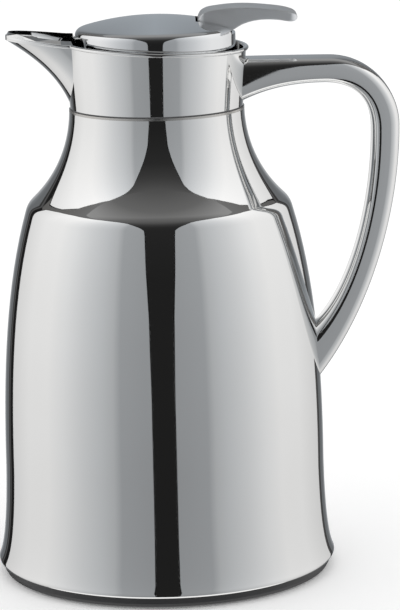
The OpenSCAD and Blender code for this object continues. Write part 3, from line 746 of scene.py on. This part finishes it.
class CARAFE_OT_lid(bpy.types.Operator):
    """Spins the lid's cover and cuts its pouring window and lever slot"""
    bl_idname = "carafe.lid"
    bl_label = "Lid cover"

    def execute(self, context):
        lid = context.scene.carafe_lid
        o = spun("plated_lid", lid_outline(), context.scene.carafe_finish.segments)
        half = lid.window_w / 2
        cut_with(o, rounded_block(
            "window_cutter", (-LID_HIGH.x - 5 * MM, -half, lid.edge_z - lid.window_drop - lid.window_h),
            (-10 * MM, half, lid.edge_z - lid.window_drop), 3.4 * MM, 0))
        slot_half = lever_half() + lid.slot_gap
        cut_with(o, rounded_block(
            "slot_cutter", (lever_start() - 0.9 * MM, -slot_half, lid.edge_z - 2.4 * MM),
            (LID_HIGH.x + 10 * MM, slot_half, LID_HIGH.z + 10 * MM), 1.2 * MM, 2))
        finish_mesh(o, o.name, 30)
        dress(o, "plate", "lid", "lid_cover")
        return {"FINISHED"}


# ---- Lever ----------------------------------------------------------------

def lever_start():
    """Distance of the lever's inner end from the axis."""
    return LID_HIGH.x - bpy.context.scene.carafe_lid.lever_bed


def lever_half():
    """Half of the lever's width."""
    return (LEVER_HIGH.y - LEVER_LOW.y) / 2


def lever_line(steps=14):
    """Side outline of the lever: crowned top, rounded ends, scooped underside and heel."""
    edge = bpy.context.scene.carafe_lid.edge_z
    top = edge + bpy.context.scene.carafe_lid.lever_crown
    near, far = lever_start(), LEVER_HIGH.x
    pivot_x, pivot_z = (PIN_LOW.x + PIN_HIGH.x) / 2, (PIN_LOW.z + PIN_HIGH.z) / 2
    m = MM
    return chain(
        steps,
        [(near, edge + 1.6 * m), (near, edge + 5.4 * m),
         (near + 1.6 * m, top - 2.1 * m), (near + 5 * m, top - 1.1 * m)],
        [(near + 5 * m, top - 1.1 * m), (near + 15 * m, top + 0.4 * m),
         (far - 22 * m, top + 0.45 * m), (far - 9 * m, top - 1.2 * m)],
        [(far - 9 * m, top - 1.2 * m), (far - 5 * m, top - 1.7 * m),
         (far, top - 3 * m), (far, top - 4.6 * m)],
        [(far, top - 4.6 * m), (far, top - 6.4 * m),
         (far - 2.4 * m, top - 6.7 * m), (far - 5 * m, top - 6.2 * m)],
        [(far - 5 * m, top - 6.2 * m), (far - 14 * m, top - 4.4 * m),
         (pivot_x + 9.6 * m, top - 5.6 * m), (pivot_x + 5.4 * m, top - 8.6 * m)],
        [(pivot_x + 5.4 * m, top - 8.6 * m), (pivot_x + 4.2 * m, top - 9.3 * m),
         (pivot_x + 2.6 * m, top - 10 * m), (pivot_x + 1.4 * m, pivot_z + 2.2 * m)],
    ) + [(pivot_x - 5.5 * m, pivot_z + 1.2 * m), (pivot_x - 5.5 * m, edge + 0.9 * m),
         (near + 0.8 * m, edge + 0.9 * m)]


class CARAFE_OT_lever(bpy.types.Operator):
    """Shapes the thumb lever, its hub and the tongue that lifts the valve"""
    bl_idname = "carafe.lever"
    bl_label = "Thumb lever"

    def execute(self, context):
        lid = context.scene.carafe_lid
        line = lever_line()
        half, corner, soft = lever_half(), lid.lever_corner, lid.lever_round
        near, far = lever_start(), LEVER_HIGH.x
        quarter = [math.sin(math.pi / 2 * i / 10) for i in range(11)]
        stations = [half - corner * (1 - q) for q in quarter if half - corner * (1 - q) < half - soft]
        stations += [half - soft * (1 - q) for q in quarter]
        rings = []
        for y in [-y for y in stations[::-1]] + stations:
            past_corner = max(0.0, abs(y) - half + corner)
            past_edge = max(0.0, abs(y) - half + soft)
            pull = corner - math.sqrt(max(0.0, corner ** 2 - past_corner ** 2))
            shrink = soft - math.sqrt(max(0.0, soft ** 2 - past_edge ** 2))
            rings.append([(min(max(x, near + pull), far - pull), y, z) for x, z in inset(line, -shrink)])
        o = lofted("plated_lever", rings, smooth_angle=35)
        dress(o, "satin", "thumb_lever", "lever")
        pivot = ((PIN_LOW.x + PIN_HIGH.x) / 2, 0, (PIN_LOW.z + PIN_HIGH.z) / 2)
        hub = hub_piece(pivot, lid.hub_r, lid.hub_half)
        dress(hub, "satin", "thumb_lever", "lever")
        return {"FINISHED"}


def hub_piece(pivot, radius, half):
    """The hub round the pin, with the forked tongue that reaches under the valve's nut."""
    turns = [math.tau * i / 48 for i in range(48)]
    chamfer = 0.4 * MM

    def circle(r, y):
        return [(pivot[0] + r * math.cos(a), y, pivot[2] + r * math.sin(a)) for a in turns]

    hub = lofted("lever_hub", [
        circle(radius - chamfer, -half), circle(radius, -half + chamfer),
        circle(radius, half - chamfer), circle(radius - chamfer, half)])
    stem_r = (STEM_HIGH.x - STEM_LOW.x) / 2
    top = pivot[2] + 1.7 * MM
    side = stem_r + 2 * MM
    tongue = rounded_block("lever_tongue", (stem_r + 0.6 * MM, -side, top - 2 * MM), (pivot[0], side, top),
                           0.4 * MM, 0)
    slot = stem_r + 0.5 * MM
    cut_with(tongue, rounded_block("fork_cutter", (-10 * MM, -slot, top - 4 * MM),
                                   (stem_r + 7 * MM, slot, top + 2 * MM), 0.5 * MM, 2))
    select_only(hub)
    join = hub.modifiers.new("tongue", "BOOLEAN")
    join.operation = "UNION"
    join.object = tongue
    bpy.ops.object.modifier_apply(modifier=join.name)
    bpy.data.objects.remove(tongue)
    pin_r = (PIN_HIGH.x - PIN_LOW.x) / 2
    cut_with(hub, lofted("bore_cutter", [circle(pin_r, -half - MM), circle(pin_r, half + MM)]))
    return finish_mesh(hub, "lever_hub", 30)


# ---- Working pieces -------------------------------------------------------

NODE_FINISHES = {
    "shell_bottom": "drawn", "inner_liner": "drawn", "foil_wrap": "foil", "getter": "drawn",
    "evacuation_seal": "drawn", "foot_pad": "rubber", "neck_ring": "drawn", "base_cap": "plastic",
    "collar_gasket": "silicone", "handle_bracket": "drawn", "handle_screws_upper": "machined",
    "handle_screw_lower": "machined", "stopper_body": "plastic", "stopper_base": "plastic",
    "stopper_foam": "foam", "stopper_seal": "silicone", "lid_screws": "machined", "lever_pin": "machined",
    "valve_stem": "machined", "stem_nut": "machined", "valve_disc": "plastic", "valve_gasket": "silicone",
    "spring_retainer": "machined", "valve_spring": "wire",
}
FINISHES = {}


def dress(o, finish, body, node):
    """Gives a new piece its finish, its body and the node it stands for."""
    o.data.materials.clear()
    o.data.materials.append(FINISHES[finish])
    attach(o, body)
    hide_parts(node)


class CARAFE_OT_working_pieces(bpy.types.Operator):
    """Gives the working pieces their finishes"""
    bl_idname = "carafe.working_pieces"
    bl_label = "Working pieces"

    def execute(self, context):
        for node, finish in NODE_FINISHES.items():
            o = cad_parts[node]
            o.data.materials.clear()
            o.data.materials.append(FINISHES[finish])
        return {"FINISHED"}


class CARAFE_OT_finishes(bpy.types.Operator):
    """Makes the finishes"""
    bl_idname = "carafe.finishes"
    bl_label = "Finishes"

    def execute(self, context):
        f = context.scene.carafe_finish
        FINISHES.update(
            steel=polished("mirror_steel", tuple(f.steel), f.steel_rough),
            cast=polished("polished_casting", tuple(f.steel), f.steel_rough * 1.2),
            plate=polished("chrome_plate", tuple(f.plate), f.steel_rough * 1.1),
            satin=drawn_steel("satin_plate", tuple(f.satin), f.satin_rough, 0.0005),
            drawn=drawn_steel("drawn_steel", (0.62, 0.61, 0.59), 0.28),
            machined=drawn_steel("machined_steel", (0.55, 0.55, 0.55), 0.25, 0.0003),
            wire=drawn_steel("spring_wire", (0.5, 0.5, 0.5), 0.3, 0.0003),
            foil=crinkled_foil("crinkled_foil", (0.85, 0.74, 0.58)),
            plastic=moulded("black_moulding", tuple(f.plastic), 0.42),
            rubber=rubbery("foot_rubber", (0.02, 0.02, 0.02), 0.75),
            silicone=rubbery("seal_silicone", tuple(f.silicone), 0.5),
            foam=foamed("insulating_foam", (0.80, 0.74, 0.58)),
        )
        return {"FINISHED"}


# ---- Stage ----------------------------------------------------------------

def between(place, *steps):
    """A value read off a line through (place, value) points."""
    for (p0, v0), (p1, v1) in zip(steps, steps[1:]):
        if place < p1:
            return v0 + (v1 - v0) * max(0.0, place - p0) / (p1 - p0)
    return steps[-1][1]


def front_gap(z):
    """Bearing of the softboxes' inner edges at a height: they lean apart as they rise."""
    return between(z, (-0.2, 9.6), (0.05, 10.8), (0.25, 13.2), (0.42, 14.6), (0.6, 19.0), (0.95, 30.0),
                   (1.15, 36.0), (1.3, 44.0), (1.38, 52.0), (WALL_HIGH, 66.0))


def box_top(bearing):
    """Height of the softboxes' upper edge at a bearing: it falls away towards the back."""
    return between(bearing, (72, WALL_HIGH), (92, 1.27), (110, 1.10), (125, 0.84), (137, 0.58), (143, 0.48))


def side_shift(bearing):
    """How far a panel turns towards the camera, to keep its place in the side's reflections when near."""
    fade = min(1.0, (180 - abs(bearing)) / 30)
    return 6.9 * abs(math.sin(math.radians(bearing / 2))) ** 0.5 * fade


def light_wall(name, start, end, low, top, material, radius=WALL_R):
    """A curved upright light panel between two bearings, counted from the camera's side.
    A bearing is a number, or a function of height; the top is one, or a function of bearing."""
    select_only()
    bpy.ops.mesh.primitive_grid_add(x_subdivisions=64, y_subdivisions=64, size=1)
    o = bpy.context.object
    for v in o.data.vertices:
        rise, across = v.co.y + 0.5, v.co.x + 0.5
        z = low + (WALL_HIGH - low) * rise
        near, far = (edge(z) if callable(edge) else edge for edge in (start, end))
        bearing = near + (far - near) * across
        a = math.radians(bearing - math.copysign(side_shift(bearing), bearing))
        crest = top(abs(bearing)) if callable(top) else top
        v.co = (radius * math.sin(a), -radius * math.cos(a), low + (crest - low) * rise)
    light_only(o, name, material)


def light_only(o, name, material):
    """Draws a panel in to its distance and shows it in reflections alone."""
    o.name = name
    o.scale = (WALL_NEAR, WALL_NEAR, WALL_NEAR)
    o.location.z = WALL_EYE * (1 - WALL_NEAR)
    o.data.materials.append(material)
    o.visible_camera = o.visible_diffuse = o.visible_shadow = False


def grey(level, cool=0.0):
    """A tone of grey, a little blue or, below nought, a little warm."""
    return level * (1 - cool), level, level * (1 + cool)


def pale_world(scene):
    world = bpy.data.worlds.new("pale_room")
    scene.world = world
    world.use_nodes = True
    background = world.node_tree.nodes["Background"]
    background.inputs["Color"].default_value = (1, 1, 1, 1)
    background.inputs["Strength"].default_value = 1.0


def pale_floor():
    select_only()
    bpy.ops.mesh.primitive_plane_add(size=FLOOR_SIZE)
    floor = bpy.context.object
    floor.name = "floor"
    paint = Finish("pale_floor")
    tone = paint.blend(paint.noise(0.3, 2.0), (0.92, 0.92, 0.92, 1), (0.94, 0.94, 0.94, 1))
    floor.data.materials.append(paint.set(Base_Color=tone, Roughness=0.9, Emission_Color=(1, 1, 1, 1),
                                          Emission_Strength=0.13))
    floor.visible_glossy = False


def softboxes_and_walls():
    """Two tall softboxes with thin dark frames, and the walls that show between and behind them."""
    box = glowing("softbox", [
        (11, grey(0.35, 0.04)), (28, grey(0.38, 0.04)), (33, grey(0.50, 0.03)), (41, grey(0.58, 0.03)),
        (55, grey(0.70, 0.02)), (70, grey(0.85, 0.01)), (84, grey(0.94)), (105, grey(0.94)),
        (121, grey(0.86)), (143, grey(0.76))], rise=(0.66, 1.16))
    frame_tone = glowing("softbox_frame", [(0, grey(0.006)), (180, grey(0.006))])
    flag_tone = glowing("side_flag", [(130.5, grey(0.012)), (136.5, grey(0.014)), (138.2, grey(0.11)),
                                      (139.8, grey(0.03)), (142.2, grey(0.06))])
    back_tone = (BACK_START, grey(0.15, 0.05))
    ramp = glowing("back_ramp", [back_tone, (154, grey(0.26, 0.05)), (162, grey(0.42, 0.03)),
                                 (170, grey(0.66)), (180, grey(0.95))])
    screen = glowing("back_screen", [back_tone, (160, grey(0.27, 0.06)), (180, grey(0.38, 0.08))])
    upper = glowing("upper_wall", [(WALL_EYE, grey(0.10, -0.03)), (1.0, grey(0.14, -0.02)),
                                   (WALL_HIGH, grey(0.17))], "height", (WALL_EYE, WALL_HIGH))
    for side, outer, label in ((1, 143, "right"), (-1, 137, "left")):
        light_wall("softbox_" + label, lambda z, k=side: k * front_gap(z), side * outer,
                   WALL_LOW, box_top, box)
        light_wall("softbox_frame_" + label, lambda z, k=side: k * (front_gap(z) - FRAME_SIDE),
                   side * (outer + FRAME_SIDE), WALL_LOW, lambda b: box_top(b) + 0.02, frame_tone,
                   WALL_R + 0.01)
        light_wall("side_flag_" + label, side * outer, side * BACK_START, WALL_LOW, 0.5, flag_tone)
        light_wall("back_low_" + label, side * BACK_START, side * 180, WALL_LOW, BACK_SPLIT, ramp)
        light_wall("back_high_" + label, side * BACK_START, side * 180, BACK_SPLIT, WALL_HIGH, screen)
        light_wall("upper_wall_" + label, side * 40, side * BACK_START, WALL_EYE, WALL_HIGH + 0.04, upper,
                   WALL_R + 0.03)


def front_flag():
    """The dark gap between the softboxes, through which the camera looks."""
    tone = glowing("front_flag", [
        (WALL_LOW, grey(0.012)), (WALL_EYE, grey(0.015)), (0.69, grey(0.024)), (1.0, grey(0.045)),
        (WALL_HIGH, grey(0.085))], "height", (WALL_LOW, WALL_HIGH))
    light_wall("front_flag", lambda z: FRAME_SIDE - front_gap(z), lambda z: front_gap(z) - FRAME_SIDE,
               WALL_LOW, WALL_HIGH + 0.02, tone, WALL_R + 0.02)


def ceiling():
    """A ceiling that grows paler towards the back."""
    select_only()
    bpy.ops.mesh.primitive_circle_add(vertices=96, radius=WALL_R + 0.04, location=(0, 0, WALL_HIGH + 0.03),
                                      fill_type="NGON")
    bpy.ops.object.transform_apply(location=True)
    light_only(bpy.context.object, "ceiling", glowing("ceiling", [
        (-WALL_R, grey(0.085)), (-0.45, grey(0.14)), (0.0, grey(0.28)), (0.4, grey(0.32)),
        (WALL_R, grey(0.32, 0.04))], "depth", (-WALL_R, WALL_R)))


def camera(scene):
    lens = bpy.data.cameras.new("camera")
    lens.sensor_width = 36.0
    lens.lens = 193.2
    lens.clip_end = 30.0
    o = bpy.data.objects.new("camera", lens)
    scene.collection.objects.link(o)
    o.location = CAMERA_PLACE
    aim = Euler((math.radians(90 - CAMERA_DOWN), 0.0, math.radians(-CAMERA_TURN)), "XYZ").to_matrix()
    roll = Euler((0.0, 0.0, math.radians(-CAMERA_ROLL)), "XYZ").to_matrix()
    o.rotation_euler = (aim @ roll).to_euler()
    scene.camera = o


class CARAFE_OT_stage(bpy.types.Operator):
    """Sets the floor, the light panels and the camera"""
    bl_idname = "carafe.stage"
    bl_label = "Stage"

    def execute(self, context):
        scene = context.scene
        scene.view_settings.view_transform = "Standard"
        pale_world(scene)
        pale_floor()
        softboxes_and_walls()
        front_flag()
        ceiling()
        camera(scene)
        return {"FINISHED"}


# ---- Panel and registration -----------------------------------------------

PIECES = ("finishes", "shell", "collar", "handle", "lid", "lever", "working_pieces", "stage")


class CARAFE_PT_panel(bpy.types.Panel):
    """Lists the carafe's sizes, finishes and pieces"""
    bl_idname = "CARAFE_PT_panel"
    bl_label = "Vacuum carafe"
    bl_space_type = "VIEW_3D"
    bl_region_type = "UI"
    bl_category = "Carafe"

    def draw(self, context):
        for group in GROUPS:
            box = self.layout.box()
            for key in GROUPS[group].__annotations__:
                box.prop(getattr(context.scene, group), key)
        for piece in PIECES:
            self.layout.operator("carafe." + piece)


GROUPS = {
    "carafe_body": CarafeBody, "carafe_collar": CarafeCollar, "carafe_handle": CarafeHandle,
    "carafe_lid": CarafeLid, "carafe_finish": CarafeFinish,
}
CLASSES = (
    *GROUPS.values(), CARAFE_OT_finishes, CARAFE_OT_shell, CARAFE_OT_collar, CARAFE_OT_handle,
    CARAFE_OT_lid, CARAFE_OT_lever, CARAFE_OT_working_pieces, CARAFE_OT_stage, CARAFE_PT_panel,
)


def register():
    for kind in CLASSES:
        bpy.utils.register_class(kind)
    for name, kind in GROUPS.items():
        setattr(bpy.types.Scene, name, PointerProperty(type=kind))


def unregister():
    for name in GROUPS:
        delattr(bpy.types.Scene, name)
    for kind in reversed(CLASSES):
        bpy.utils.unregister_class(kind)


def main():
    register()
    for piece in PIECES:
        getattr(bpy.ops.carafe, piece)()


if __name__ == "__main__":
    main()
